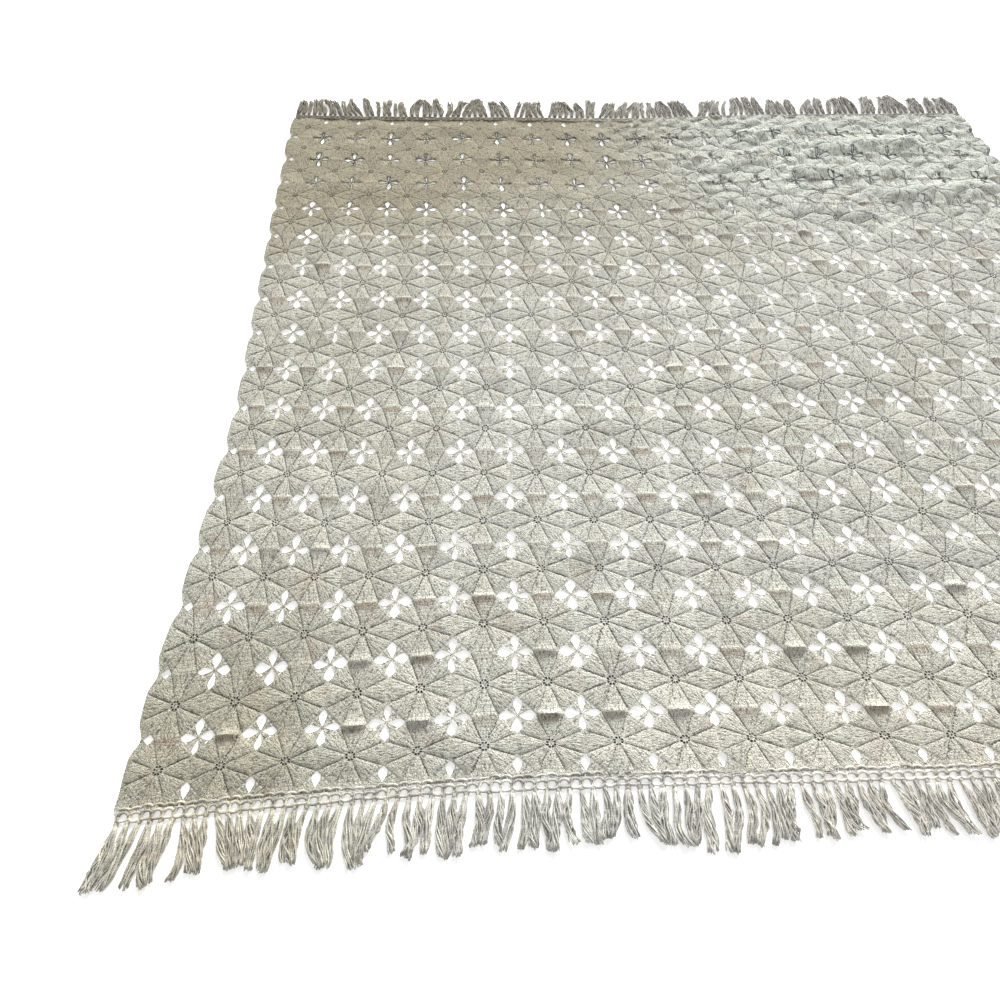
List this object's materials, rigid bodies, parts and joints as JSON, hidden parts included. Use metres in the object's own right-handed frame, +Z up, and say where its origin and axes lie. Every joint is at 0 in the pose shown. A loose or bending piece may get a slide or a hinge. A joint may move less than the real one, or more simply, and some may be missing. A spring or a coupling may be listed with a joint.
{
  "type": "crochet bedspread",
  "caption": "Crocheted cotton bedspread laid out flat: octagon medallions joined edge to edge with star gaps between them, plain scalloped ends and a knotted fringe along both long sides.",
  "frame": {"origin": "centre of the bounding box, on the surface that the spread lies on", "axes": "+Z up from the surface; +X along the length, from the left plain end to the right one; +Y across the width, from the near fringe to the far fringe"},
  "size_m": [2.546, 2.3826, 0.0209],
  "materials": {
    "crochet_cotton": "matt ecru cotton, close crochet stitches",
    "fringe_cotton": "matt ecru cotton, loose plied strands"
  },
  "bodies": {
    "root": {"lace_field": "crochet_cotton", "fringe_near": "fringe_cotton", "fringe_far": "fringe_cotton"}
  },
  "joints": []
}
